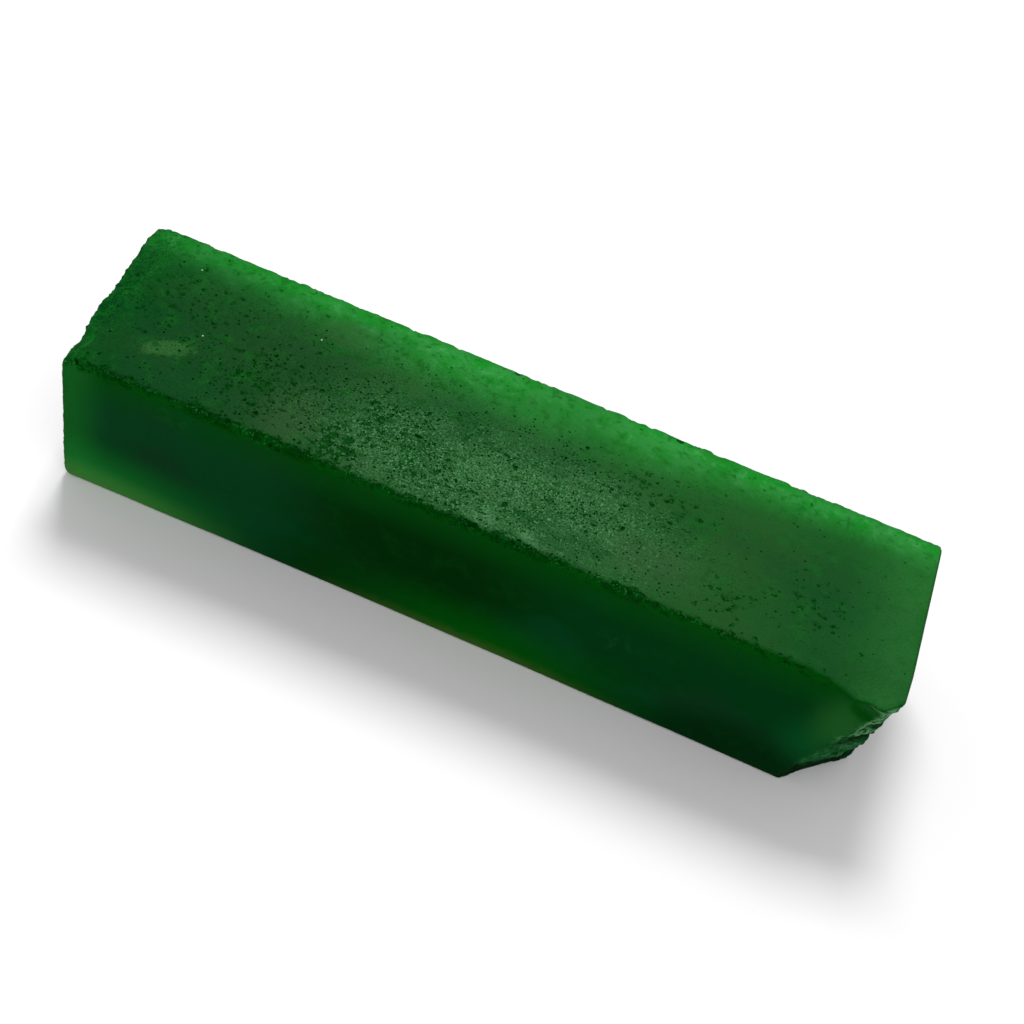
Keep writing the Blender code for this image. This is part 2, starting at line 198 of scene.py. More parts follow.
class Wiring:
    """A node tree written step by step: each call adds one node and gives back what comes out of it."""

    def __init__(self, tree):
        self.tree = tree

    def node(self, kind, feeds=None, **settings):
        made = self.tree.nodes.new(kind)
        for name, value in settings.items():
            setattr(made, name, value)
        for key, value in (feeds or {}).items():
            self.feed(made.inputs[key], value)
        return made

    def feed(self, socket, value):
        if isinstance(value, bpy.types.NodeSocket):
            self.tree.links.new(value, socket)
        else:
            socket.default_value = value

    def math(self, operation, *values):
        made = self.node("ShaderNodeMath", operation=operation)
        for socket, value in zip(made.inputs, values):
            self.feed(socket, value)
        return made.outputs[0]

    def chain(self, operation, first, *others):
        for other in others:
            first = self.math(operation, first, other)
        return first

    def product(self, *values):
        return self.chain("MULTIPLY", *values)

    def total(self, *values):
        return self.chain("ADD", *values)

    def most(self, *values):
        return self.chain("MAXIMUM", *values)

    def less(self, value, other):
        return self.math("SUBTRACT", value, other)

    def apart(self, value, other):
        """How far two values are apart."""
        return self.math("ABSOLUTE", self.less(value, other))

    def vector(self, operation, *values, out=0):
        made = self.node("ShaderNodeVectorMath", operation=operation)
        for socket, value in zip(made.inputs, values):
            self.feed(socket, value)
        return made.outputs[out]

    def scaled(self, vector, factor):
        feeds = {"Vector": vector, "Scale": factor}
        return self.node("ShaderNodeVectorMath", feeds, operation="SCALE").outputs[0]

    def parts(self, vector):
        return self.node("ShaderNodeSeparateXYZ", {"Vector": vector}).outputs

    def fade(self, value, start, end, low=0.0, high=1.0):
        """Goes smoothly from low to high while the value goes from start to end."""
        feeds = {"Value": value, "From Min": start, "From Max": end, "To Min": low, "To Max": high}
        return self.node("ShaderNodeMapRange", feeds, interpolation_type="SMOOTHSTEP").outputs[0]

    def noise(self, place, grain=1.0, detail=2.0, rough=0.5, stretch=(1, 1, 1), shift=0.0):
        """Noise from 0 to 1 in lumps of about one grain, longer by stretch along each axis.

        The shift moves it, so that no two noises have their lumps in the same places.
        """
        scaled = self.vector("DIVIDE", place, tuple(grain * part for part in stretch))
        moved = self.vector("ADD", scaled, (shift, 0.7 * shift, -0.4 * shift))
        feeds = {"Vector": moved, "Scale": 1.0, "Detail": detail, "Roughness": rough}
        return self.node("ShaderNodeTexNoise", feeds).outputs[0]

    def relief(self, noise, depth, level=0.5):
        """Noise as hills and hollows, raised where it is over its level and sunk where it is under it."""
        return self.product(self.less(noise, level), depth, 2.0)

    def torn(self, place, tearing):
        """How far a place is past the rim of a torn spot: above 0 inside the spot, below 0 outside it."""
        spots = self.noise(place, grain=0.54, detail=4, rough=0.68, stretch=(1.2, 1, 1), shift=71)
        return self.less(spots, self.less(TEAR_LEVEL, self.product(tearing, TEAR_HELP)))

    def from_break(self, place, direction):
        """How far a place lies from the broken corner's top, measured along one direction."""
        return self.vector("DOT_PRODUCT", self.vector("SUBTRACT", place, BREAK_TOP), direction, out=1)

    def along_break(self, place):
        """The place as down across the broken corner's ledges, along them, and out of them."""
        directions = (BREAK_DOWN, BREAK_ALONG, BREAK_NORMAL)
        feeds = {axis: self.from_break(place, direction) for axis, direction in enumerate(directions)}
        return self.node("ShaderNodeCombineXYZ", feeds).outputs[0]

    def oval(self, place, middle, radii, turn=0.0):
        """The distance from the middle of an oval, 1 on its rim. It is turned as seen from above."""
        feeds = {"Vector": self.vector("SUBTRACT", place, middle), "Axis": (0, 0, 1), "Angle": -turn}
        turned = self.node("ShaderNodeVectorRotate", feeds).outputs[0]
        return self.vector("LENGTH", self.vector("DIVIDE", turned, radii), out=1)

    def from_above(self, place, middle, radii, turn=0.0):
        """The distance from the middle of an oval on the top."""
        return self.oval(place, (*middle, HIGH.z), (*radii, THROUGH), turn)


def new_tree(name, sizes):
    """A Geometry Nodes tree with a geometry input and output, and named inputs for its sizes."""
    tree = bpy.data.node_groups.new(name, "GeometryNodeTree")
    face = tree.interface
    face.new_socket("Geometry", in_out="INPUT", socket_type="NodeSocketGeometry")
    face.new_socket("Geometry", in_out="OUTPUT", socket_type="NodeSocketGeometry")
    for label, value in sizes.items():
        kind = "NodeSocketInt" if isinstance(value, int) else "NodeSocketFloat"
        face.new_socket(label, in_out="INPUT", socket_type=kind)
    wires = Wiring(tree)
    return tree, wires, wires.node("NodeGroupInput").outputs, wires.node("NodeGroupOutput").inputs


def use_tree(piece, tree, values):
    """Adds the tree to a piece as a modifier and sets its named inputs."""
    modifier = piece.modifiers.new(tree.name, "NODES")
    modifier.node_group = tree
    for item in tree.interface.items_tree:
        if item.in_out == "INPUT" and item.name in values:
            modifier[item.identifier] = values[item.name]


def skin_place(wires):
    """Where each point of the skin is, in millimetres."""
    return wires.scaled(wires.node("GeometryNodeInputPosition").outputs[0], 1 / MM)


def keep_mark(wires, geometry, name, value, domain="POINT"):
    """The geometry with a value kept on it under a mark's name."""
    feeds = {"Geometry": geometry, "Name": name, "Value": value}
    return wires.node("GeometryNodeStoreNamedAttribute", feeds, domain=domain).outputs[0]


def tearing_strength(wires, place):
    """How readily the stone tore open: most in its torn patches and along its chipped front edge."""
    strength = TORN_ELSEWHERE
    for middle, radii, most in TORN_PATCHES:
        patch = wires.from_above(place, middle, radii)
        strength = wires.most(strength, wires.fade(patch, 1.3, 0.3, TORN_ELSEWHERE, most))
    along, across = wires.parts(place)[:2]
    edge = wires.fade(wires.apart(across, LOW.y), CHIP_REACH, 0.1 * CHIP_REACH)
    for middle, length, most in CHIPPED_PLACES:
        chips = wires.fade(wires.apart(along, middle), length, 0.4 * length, 1.0, most)
        strength = wires.most(strength, wires.product(chips, edge))
    return strength


FRACTURE_SIZES = {
    "Fracture Depth": 0.11,
    "Fracture Grain": 0.9,
    "Hackle Depth": 0.10,
    "Hackle Grain": 0.36,
    "Comb Depth": 0.18,
    "Notch Depth": 0.42,
    "Tear Depth": 0.14,
    "Edge Wave": 0.20,
    "Rim Knobs": 0.8,
    "Saw Wave": 0.035,
}


def fracture_relief(wires, place, given):
    """The rough end's lumps, with smaller hackles on them."""
    lumps = wires.noise(wires.vector("DIVIDE", place, given["Fracture Grain"]), detail=3, shift=11)
    hackles = wires.noise(wires.vector("DIVIDE", place, given["Hackle Grain"]), detail=2, shift=5)
    return wires.total(wires.relief(lumps, given["Fracture Depth"], 0.55),
                       wires.relief(hackles, given["Hackle Depth"]))


def ledge_relief(wires, place, up, given):
    """The broken corner's relief: combed along its ledges and, below its top, notched."""
    ledge = wires.along_break(place)
    combed = wires.noise(wires.vector("DIVIDE", ledge, given["Hackle Grain"]),
                         detail=3, stretch=(1.0, 6.0, 2.0), shift=8)
    notched = wires.noise(ledge, grain=1.2, detail=2, rough=0.6, stretch=(1.0, 2.2, 2.0), shift=14)
    notched = wires.relief(notched, given["Notch Depth"], 0.54)
    below_top = wires.fade(up, HIGH.z - 0.6, HIGH.z - 2.8)
    return wires.total(wires.relief(combed, given["Comb Depth"]), wires.product(notched, below_top))


def worn_in(wires, place, side, given):
    """How far the long top edge of one side is worn in, in waves. Below 0 it stands out a little."""
    across, up = wires.parts(place)[1:]
    waves = wires.noise(place, grain=1.3, detail=3, rough=0.6, shift=side)
    stretches = wires.noise(place, grain=4.5, detail=1, shift=37)
    from_edge = wires.most(wires.less(HIGH.z, up), wires.apart(across, side))
    return wires.product(
        wires.fade(waves, 0.36, 0.66, -0.4, 0.6),
        wires.fade(stretches, 0.40, 0.62, 0.3, 1.0),
        wires.fade(from_edge, 0.75, 0.1),
        given["Edge Wave"],
    )


def fracture_tree():
    """Roughens the skin where the stone broke, and leaves its sawn sides nearly flat."""
    tree, wires, given, result = new_tree("fracture", FRACTURE_SIZES)
    place = skin_place(wires)
    along, _, up = wires.parts(place)
    normal = wires.node("GeometryNodeInputNormal").outputs[0]
    facing = wires.parts(normal)
    facing_along, _, facing_up = facing

    def blurred(value, steps):
        return wires.node("GeometryNodeBlurAttribute", {"Value": value, "Iterations": steps}).outputs[0]

    squareness = wires.most(*[wires.math("ABSOLUTE", part) for part in facing])
    slanting = wires.fade(squareness, 0.985, 0.93)
    above_base = wires.fade(up, LOW.z + 0.1, LOW.z + 0.5)
    left_end = wires.fade(facing_along, -0.45, -0.75)
    near_break = wires.fade(wires.from_break(place, BREAK_NORMAL), -0.9, -0.5)
    under_scar = wires.most(wires.fade(facing_up, 0.35, 0.15), wires.fade(up, *UNDER_SCAR))
    ledges = wires.product(slanting, near_break, under_scar, wires.fade(along, *BREAK_START))
    rough_end = wires.fade(blurred(left_end, 14), 0.45, 0.75)
    rough_corner = wires.product(blurred(ledges, 2), above_base)
    broken = wires.product(wires.most(rough_end, rough_corner), above_base)
    edges = wires.product(slanting, wires.fade(facing_up, 0.90, 0.80))
    worn = wires.product(blurred(edges, 2), wires.less(1.0, broken), above_base)
    sawn_top = wires.fade(facing_up, 0.60, 0.80)
    tearing = tearing_strength(wires, place)

    marked = given["Geometry"]
    for name, value in zip(SKIN_MARKS, (sawn_top, tearing, broken, worn)):
        marked = keep_mark(wires, marked, name, value)

    saw_wave = wires.relief(wires.noise(place, grain=6.0, detail=2, shift=3), given["Saw Wave"])
    shift = wires.total(
        wires.product(fracture_relief(wires, place, given), rough_end, above_base),
        wires.product(saw_wave, above_base),
        wires.product(ledge_relief(wires, place, up, given), rough_corner),
    )
    near_top = wires.fade(up, HIGH.z - 0.8, HIGH.z - 0.4)
    sunk = wires.product(wires.fade(wires.torn(place, tearing), 0.0, 0.03), near_top, given["Tear Depth"])
    shift = wires.less(shift, sunk)
    for side in (LOW.y, HIGH.y):
        shift = wires.less(shift, worn_in(wires, place, side, given))
    knobs = wires.noise(place, grain=1.1, detail=3, rough=0.6, shift=19)
    rim = wires.product(blurred(slanting, 3), wires.fade(along, *LEFT_RIM), wires.fade(up, *UPPER_RIM))
    shift = wires.total(shift, wires.product(wires.less(knobs, 0.52), rim, given["Rim Knobs"]))
    offset = wires.scaled(normal, wires.product(shift, MM))
    moved = wires.node("GeometryNodeSetPosition", {"Geometry": marked, "Offset": offset}).outputs[0]
    wires.feed(result["Geometry"], moved)
    return tree


PIT_SIZES = {
    "Pit Spacing": 0.27,
    "Smallest Pit": 0.10,
    "Largest Pit": 0.27,
    "Pit Seed": 4,
    "Tear Spacing": 0.85,
    "Smallest Tear": 0.22,
    "Largest Tear": 0.60,
    "Tear Seed": 3,
    "Nick Spacing": 0.60,
    "Smallest Nick": 0.20,
    "Largest Nick": 0.70,
    "Nick Seed": 5,
}
# How each kind is squashed, from least to most, how rare its large ones are, and the seed of its sizes
PIT_FORMS = {
    "Pit": (((0.7, 0.7, 0.6), (1.15, 1.15, 1.0)), 1.8, 7),
    "Tear": (((0.7, 0.7, 0.25), (1.3, 1.3, 0.5)), 2.4, 3),
    "Nick": (((0.8, 0.8, 0.35), (1.5, 1.5, 0.65)), 2.6, 5),
}
# The most tried on a square millimetre, the share of tears kept, and how far one may tilt, in radians
PITS_TRIED = 60.0
TEAR_SHARE = 0.7
PIT_TILT = 0.45


def random_vector(wires, low, high, seed):
    feeds = {0: low, 1: high, "Seed": seed}
    return wires.node("FunctionNodeRandomValue", feeds, data_type="FLOAT_VECTOR").outputs[0]


def random_size(wires, smallest, largest, rarity, seed):
    """A size between two limits, where a high rarity makes the large ones few."""
    feeds = {2: 0.0, 3: 1.0, "Seed": seed}
    share = wires.node("FunctionNodeRandomValue", feeds, data_type="FLOAT").outputs[1]
    feeds = {"Value": wires.math("POWER", share, rarity), "To Min": smallest, "To Max": largest}
    return wires.node("ShaderNodeMapRange", feeds).outputs[0]


def scatter(wires, stone, factor, spacing, cutter, size, squash, seed):
    """Copies of a cutter strewn over the stone, no closer than the spacing, as one mesh marked as pits."""
    spread = wires.node("GeometryNodeDistributePointsOnFaces", {
        "Mesh": stone,
        "Distance Min": wires.product(spacing, MM),
        "Density Max": PITS_TRIED / MM ** 2,
        "Density Factor": factor,
        "Seed": seed,
    }, distribute_method="POISSON")
    tilt = random_vector(wires, (-PIT_TILT, -PIT_TILT, 0.0), (PIT_TILT, PIT_TILT, math.tau), seed)
    upright = wires.node("FunctionNodeRotateRotation", {
        "Rotation": spread.outputs["Rotation"],
        "Rotate By": wires.node("FunctionNodeEulerToRotation", {"Euler": tilt}).outputs[0],
    }, rotation_space="LOCAL").outputs[0]
    strewn = wires.node("GeometryNodeInstanceOnPoints", {
        "Points": spread.outputs["Points"],
        "Instance": cutter,
        "Rotation": upright,
        "Scale": wires.scaled(random_vector(wires, *squash, seed), size),
    }).outputs[0]
    strewn = wires.node("GeometryNodeRealizeInstances", {"Geometry": strewn}).outputs[0]
    return keep_mark(wires, strewn, PIT, 1.0, "FACE")


def carve(wires, stone, cutters):
    """The stone with the cutters' shapes taken out of it."""
    feeds = {"Mesh 1": stone, "Mesh 2": cutters}
    made = wires.node("GeometryNodeMeshBoolean", feeds, operation="DIFFERENCE", solver="MANIFOLD")
    return wires.node("GeometryNodeRealizeInstances", {"Geometry": made.outputs[0]}).outputs[0]


def grain_shape(wires):
    """A small five-sided point that dips into the surface, about a millimetre wide before it is scaled."""
    cone = wires.node("GeometryNodeMeshCone", {
        "Vertices": 5,
        "Radius Top": 0.0,
        "Radius Bottom": 0.62 * MM,
        "Depth": 1.0 * MM,
    }, fill_type="TRIANGLE_FAN")
    turned = wires.node("GeometryNodeTransform", {
        "Geometry": cone.outputs[0],
        "Translation": (0, 0, 0.22 * MM),
        "Rotation": (math.pi, 0, 0),
    })
    return turned.outputs[0]


def chip_shape(wires):
    """A small uneven lump, a millimetre wide before it is scaled."""
    ball = wires.node("GeometryNodeMeshIcoSphere", {"Radius": 0.5 * MM, "Subdivisions": 2}).outputs[0]
    place = skin_place(wires)
    swell = wires.less(wires.noise(place, grain=0.45, detail=1, shift=4), 0.5)
    offset = wires.scaled(place, wires.product(swell, 1.1 * MM))
    return wires.node("GeometryNodeSetPosition", {"Geometry": ball, "Offset": offset}).outputs[0]


def shade_smooth(wires, geometry, smooth, domain, chosen=True):
    feeds = {"Geometry": geometry, "Selection": chosen, "Shade Smooth": smooth}
    return wires.node("GeometryNodeSetShadeSmooth", feeds, domain=domain).outputs[0]


def pit_tree(material):
    """Tears small pits out of the sawn top, closest together in its middle, and nicks the sharp edges."""
    tree, wires, given, result = new_tree("pits_and_nicks", PIT_SIZES)
    place = skin_place(wires)
    along, across, up = wires.parts(place)
    stone = keep_mark(wires, given["Geometry"], PIT, 0.0, "FACE")

    def mark(name):
        return wires.node("GeometryNodeInputNamedAttribute", {"Name": name}, data_type="FLOAT").outputs[0]

    def strewn(kind, cutter, where):
        squash, rarity, size_seed = PIT_FORMS[kind]
        size = random_size(wires, given[f"Smallest {kind}"], given[f"Largest {kind}"], rarity, size_seed)
        spacing, seed = given[f"{kind} Spacing"], given[f"{kind} Seed"]
        return scatter(wires, stone, where, spacing, cutter, size, squash, seed)

    crowd = wires.product(
        wires.fade(wires.from_above(place, *PITTED_AREA), 1.15, 0.25, 0.07, 1.0),
        wires.fade(along, *FEWER_PITS, 1.0, 0.35),
    )
    nicked = wires.product(
        mark(WORN),
        wires.fade(along, *EDGE_NICKS, 0.0, 0.6),
        wires.fade(up, *UPPER_NICKS),
    )
    torn = wires.product(
        wires.fade(wires.noise(place, grain=2.2, detail=2, shift=31), 0.50, 0.66, 0.03, 1.0),
        wires.fade(across, *TOP_TEARS, 0.05, 1.0),
        wires.fade(wires.from_above(place, *LENS_PATCH), 1.2, 1.4),
        mark(SAWN_TOP),
        TEAR_SHARE,
    )
    pitted = wires.product(
        crowd,
        wires.fade(wires.noise(place, grain=2.6, detail=3, shift=21), 0.42, 0.62, 0.08, 1.0),
        wires.fade(across, *TOP_PITS, 0.12, 1.0),
        mark(SAWN_TOP),
    )
    carved = carve(wires, stone, strewn("Nick", chip_shape(wires), nicked))
    carved = carve(wires, carved, strewn("Tear", chip_shape(wires), wires.product(crowd, torn)))
    carved = carve(wires, carved, strewn("Pit", grain_shape(wires), pitted))
    for name in SKIN_MARKS:
        nearest = wires.node("GeometryNodeSampleNearestSurface", {"Mesh": stone, "Value": mark(name)})
        carved = keep_mark(wires, carved, name, nearest.outputs[0])

    bend = wires.node("GeometryNodeInputMeshEdgeAngle").outputs["Unsigned Angle"]
    pit_rim = wires.math("COMPARE", mark(PIT), 0.5, 0.45)
    crisp = wires.most(wires.math("GREATER_THAN", bend, CREASE), pit_rim)
    shaded = shade_smooth(wires, carved, True, "FACE")
    shaded = shade_smooth(wires, shaded, False, "EDGE", crisp)
    dressed = wires.node("GeometryNodeSetMaterial", {"Geometry": shaded, "Material": material})
    wires.feed(result["Geometry"], dressed.outputs[0])
    return tree


def tone(red, green, blue):
    """A colour as scene-linear light, from the 0 to 255 that a screen shows."""
    def linear(level):
        part = level / 255
        return part / 12.92 if part <= 0.04045 else ((part + 0.055) / 1.055) ** 2.4
    return (linear(red), linear(green), linear(blue), 1.0)


def palette(**shades):
    """Named colours, each given as a screen shows it."""
    return SimpleNamespace(**{name: tone(*levels) for name, levels in shades.items()})


class Paint(Wiring):
    """Wiring for a material, with its place in millimetres, its noises and the skin's marks."""

    def __init__(self, material):
        super().__init__(material.node_tree)
        self.place = self.scaled(self.node("ShaderNodeTexCoord").outputs["Object"], 1 / MM)
        self.x, self.y, self.z = self.parts(self.place)
        self.drift = self.noise(self.place, grain=9.0, detail=1, stretch=(1.6, 1, 1), shift=17)
        self.clouds = self.noise(self.place, grain=4.6, detail=2, rough=0.55, stretch=(1.8, 1, 1), shift=2)
        self.veils = self.noise(self.place, grain=1.7, detail=2, rough=0.6, shift=61)
        self.mottle = self.noise(self.place, grain=0.75, detail=2, rough=0.6, shift=7)
        self.grain = self.noise(self.place, grain=0.17, detail=1, rough=0.6, shift=13)
        self.specks = self.noise(self.place, grain=0.15, detail=0, shift=41)

    def mark(self, name):
        return self.node("ShaderNodeAttribute", attribute_name=name).outputs["Fac"]

    def coat(self, under, colour, factor):
        """One colour laid over another as far as the factor says."""
        return self.node("ShaderNodeMix", {0: factor, 6: under, 7: colour}, data_type="RGBA").outputs[2]

    def coats(self, under, *layers):
        """Colours laid one over another, each as far as its own factor says."""
        for colour, factor in layers:
            under = self.coat(under, colour, factor)
        return under

    def bell(self, value, middle, reach, low=0.0, high=1.0):
        """High in the middle and low from the reach on."""
        return self.fade(self.apart(value, middle), reach, 0.0, low, high)

    def on_top(self, middle, radii, turn=0.0):
        return self.from_above(self.place, middle, radii, turn)

    def on_front(self, middle, radii):
        """The distance from the middle of an oval on the front."""
        x, z = middle
        length, height = radii
        return self.oval(self.place, (x, 0.0, z), (length, THROUGH, height))

    def glints(self):
        """Painted glints: tiny bright highlights."""
        off = [self.vector("DISTANCE", self.place, point, out=1) for point in GLINTS]
        return self.most(*[self.fade(distance, GLINT_SIZE, 0.5 * GLINT_SIZE) for distance in off])


SIDE = palette(
    left=(5, 59, 25),
    middle=(0, 50, 9),
    right=(0, 54, 17),
    bluish=(5, 62, 33),
    greyish=(16, 48, 28),
    core=(0, 41, 5),
    foot=(0, 40, 10),
    veil=(2, 64, 18),
    upper=(0, 68, 6),
    teal=(6, 80, 36),
    olive=(30, 90, 34),
    top_edge=(0, 70, 6),
    spot=(34, 84, 56),
    left_edge=(15, 94, 28),
    lit_left=(22, 118, 42),
    lit_left_foot=(70, 132, 56),
    lit_middle=(0, 82, 6),
    seam=(62, 92, 36),
)


def side_colour(paint):
    """The sawn sides: dark and bluish inside, lit green with painted light where light comes in at their
    edges, and darkened by painted shade at the lower right.
    """
    x, z = paint.x, paint.z
    off_middle = paint.bell(x, -5.0, 15.0, 1.0, 0.1)
    bluish = paint.product(paint.fade(paint.clouds, 0.50, 0.70, 0.0, 0.6), off_middle)
    colour = paint.coats(
        SIDE.left,
        (SIDE.middle, paint.fade(x, -17.0, -10.0)),
        (SIDE.right, paint.fade(x, 4.0, 12.0)),
        (SIDE.bluish, bluish),
        (SIDE.greyish, paint.fade(paint.drift, 0.50, 0.62, 0.0, 0.5)),
        (SIDE.core, paint.fade(paint.on_front(*DARK_CORE), 1.25, 0.4, 0.0, 0.95)),
        # Painted shade, darker at the lower right of the front
        (SIDE.foot, paint.fade(paint.on_front(*SHADED_FOOT), 1.1, 0.5, 0.0, 0.9)),
        (SIDE.veil, paint.fade(paint.veils, 0.50, 0.66, 0.0, 0.22)),
        # Painted light: a brighter green band below the top edge, where light comes through from the top
        (SIDE.upper, paint.fade(z, HIGH.z - 4.5, HIGH.z - 1.2, 0.0, 0.6)),
        (SIDE.teal, paint.fade(paint.on_front(*TEAL_EDGE), 1.3, 0.1, 0.0, 0.55)),
        (SIDE.olive, paint.fade(paint.on_front(*OLIVE_EDGE), 1.35, 0.1, 0.0, 0.8)),
        # Painted light along the top edge
        (SIDE.top_edge, paint.fade(z, HIGH.z - 1.5, HIGH.z - 0.6, 0.0, 0.85)),
    )
    for middle in PALE_SPOTS:
        spot = paint.fade(paint.on_front(middle, PALE_SPOT_SIZE), 1.4, 0.0)
        spot = paint.product(spot, paint.fade(paint.mottle, 0.44, 0.62), 0.22)
        colour = paint.coat(colour, SIDE.spot, spot)

    on_left = paint.fade(x, -14.0, -33.0)
    in_middle = paint.bell(x, 4.5, 17.0)
    # Painted light glowing along the bottom of the front, in a ragged band
    ragged = paint.total(z, paint.product(paint.mottle, 0.8))
    seam = paint.product(paint.fade(ragged, 2.0, 0.4), paint.bell(x, 3.0, 17.0), 0.75)
    return paint.coats(
        colour,
        # Painted light, lighter towards the left end
        (SIDE.left_edge, paint.fade(x, LOW.x + 6.5, LOW.x + 2.0, 0.0, 0.9)),
        (SIDE.lit_left, paint.product(on_left, paint.fade(z, 6.5, 0.2))),
        (SIDE.lit_left_foot, paint.product(on_left, paint.fade(z, 3.0, -0.6))),
        (SIDE.lit_middle, paint.product(in_middle, paint.fade(z, 6.5, 0.3))),
        (SIDE.seam, seam),
    )


# The top's green from the left end to the right, the last one lighter with painted light coming through the
# broken end: the colour, where it sets in and where it is full
TOP_LEFT_END = tone(4, 62, 20)
TOP_GREENS = (
    (tone(16, 61, 27), -34.0, -27.0),
    (tone(25, 63, 31), -25.0, -16.0),
    (tone(35, 78, 38), -17.0, -8.0),
    (tone(28, 74, 31), 5.0, 18.0),
    (tone(23, 70, 30), 20.0, 27.0),
    (tone(35, 93, 40), 28.0, 35.0),
)
TOP = palette(
    greyish=(42, 70, 36),
    bluish=(14, 64, 31),
    dim=(12, 62, 31),
    veil=(20, 84, 26),
    towards_back=(28, 102, 36),
    frost=(60, 106, 64),
    lens=(54, 102, 50),
    mottling=(2, 60, 8),
    dusky=(46, 75, 43),
    crust=(82, 132, 88),
    smear=(78, 126, 84),
    flaw=(4, 60, 14),
    dots=(0, 56, 6),
    end_green=(12, 88, 24),
    end_gaps=(2, 48, 14),
    end_specks=(50, 116, 56),
    torn_rims=(84, 136, 92),
)
GLOW = palette(
    deep=(22, 128, 34),
    light=(44, 132, 56),
    dark_mottling=(10, 92, 16),
    pale_mottling=(70, 152, 84),
    edge=(18, 106, 30),
)


def glow_colour(paint):
    """The light that comes out of the top along its back edge."""
    return paint.coats(
        GLOW.deep,
        (GLOW.light, paint.fade(paint.veils, 0.34, 0.66)),
        (GLOW.dark_mottling, paint.fade(paint.mottle, 0.52, 0.70, 0.0, 0.6)),
        (GLOW.pale_mottling, paint.fade(paint.mottle, 0.44, 0.26, 0.0, 0.5)),
        (GLOW.edge, paint.fade(paint.y, HIGH.y - 1.1, HIGH.y - 0.3, 0.0, 0.35)),
    )


def top_colour(paint, torn):
    """The frosted top: grey-green with a painted sheen where it is most frosted, torn open in spots, and
    glowing with painted light along its back edge.
    """
    x, y = paint.x, paint.y
    colour = TOP_LEFT_END
    for green, start, full in TOP_GREENS:
        colour = paint.coat(colour, green, paint.fade(x, start, full))

    # The pale grey of the frosting is partly the frosted surface's own tone and partly a painted sheen,
    # strongest in this area
    worn = paint.on_top(*FROST_SHEEN_AREA)
    patchy = paint.fade(paint.clouds, 0.36, 0.60, 0.2, 1.0)
    frost = paint.product(paint.fade(worn, 1.2, 0.3), patchy, 0.57)
    lens = paint.total(paint.on_top(*LENS_PATCH), paint.product(paint.less(paint.mottle, 0.5), 1.6))
    reach = paint.product(paint.bell(x, 0.0, 34.0, 0.55, 1.0), GLOW_DEPTH)
    glow = paint.product(
        paint.fade(y, paint.less(HIGH.y, reach), HIGH.y + 0.2),
        paint.fade(paint.clouds, 0.34, 0.60, 0.70, 1.0),
        paint.fade(x, -30.0, -12.0, 0.84, 1.0),
    )
    crowd = paint.product(
        paint.most(paint.fade(paint.on_top(*MOTTLED_AREA), 1.2, 0.3), paint.fade(x, 6.0, -12.0, 0.2, 0.55)),
        paint.fade(y, 7.5, 3.0, 0.15, 1.0),
    )
    colour = paint.coats(
        colour,
        (TOP.greyish, paint.fade(paint.drift, 0.50, 0.64, 0.0, 0.15)),
        (TOP.bluish, paint.fade(paint.drift, 0.48, 0.36, 0.0, 0.18)),
        (TOP.dim, paint.fade(paint.clouds, 0.46, 0.34, 0.0, 0.22)),
        (TOP.veil, paint.fade(paint.veils, 0.52, 0.70, 0.0, 0.5)),
        # Painted light: lighter towards the back, where light comes in through the stone
        (TOP.towards_back, paint.fade(y, 0.5, 6.0, 0.0, 0.24)),
        (TOP.frost, frost),
        (TOP.lens, paint.fade(lens, 1.2, 0.5, 0.0, 0.48)),
        (glow_colour(paint), glow),
        (TOP.mottling, paint.product(paint.fade(paint.mottle, 0.52, 0.66), crowd, 0.68)),
    )
    for middle, radii, strength in DUSKY_PLACES:
        dusky = paint.fade(paint.on_top(middle, radii), 1.3, 0.5, 0.0, strength)
        colour = paint.coat(colour, TOP.dusky, dusky)
        crowd = paint.product(crowd, paint.less(1.0, dusky))
    # Painted glints: pale specks over the frosting
    crust = paint.product(
        paint.fade(paint.specks, 0.54, 0.76),
        paint.fade(worn, 1.1, 0.4),
        paint.fade(paint.veils, 0.40, 0.60, 0.1, 0.7),
        paint.fade(x, 3.0, 10.0, 1.0, 0.6),
    )
    colour = paint.coat(colour, TOP.crust, crust)
    for middle, radii, strength in SMEARS:
        smear = paint.fade(paint.on_top(middle, radii, SMEAR_TURN), 1.5, 0.2)
        smear = paint.product(smear, paint.fade(paint.mottle, 0.36, 0.56), strength)
        colour = paint.coat(colour, TOP.smear, smear)

    end = paint.fade(x, LOW.x + 4.8, LOW.x + 2.4)
    torn_rims = paint.product(
        paint.fade(torn, -0.055, -0.02),
        paint.fade(paint.specks, 0.42, 0.62),
        paint.fade(worn, 1.15, 0.5, 0.0, 0.85),
    )
    return paint.coats(
        colour,
        (TOP.flaw, paint.fade(paint.on_top(*FLAW), 1.6, 0.4, 0.0, 0.4)),
        (TOP.dots, paint.product(paint.fade(paint.grain, 0.50, 0.60), crowd, 0.78)),
        (TOP.end_green, paint.product(end, paint.fade(paint.mottle, 0.46, 0.60), 0.7)),
        (TOP.end_gaps, paint.product(end, paint.fade(paint.grain, 0.54, 0.64), 0.7)),
        # Painted glints: pale glittering specks on the rough left end
        (TOP.end_specks, paint.product(end, paint.fade(paint.specks, 0.70, 0.84), 0.6)),
        (TOP.torn_rims, torn_rims),
    )


RIM = palette(
    dark=(10, 58, 22),
    green=(18, 84, 26),
    back=(24, 100, 30),
    gaps=(2, 36, 10),
    specks=(110, 168, 112),
)


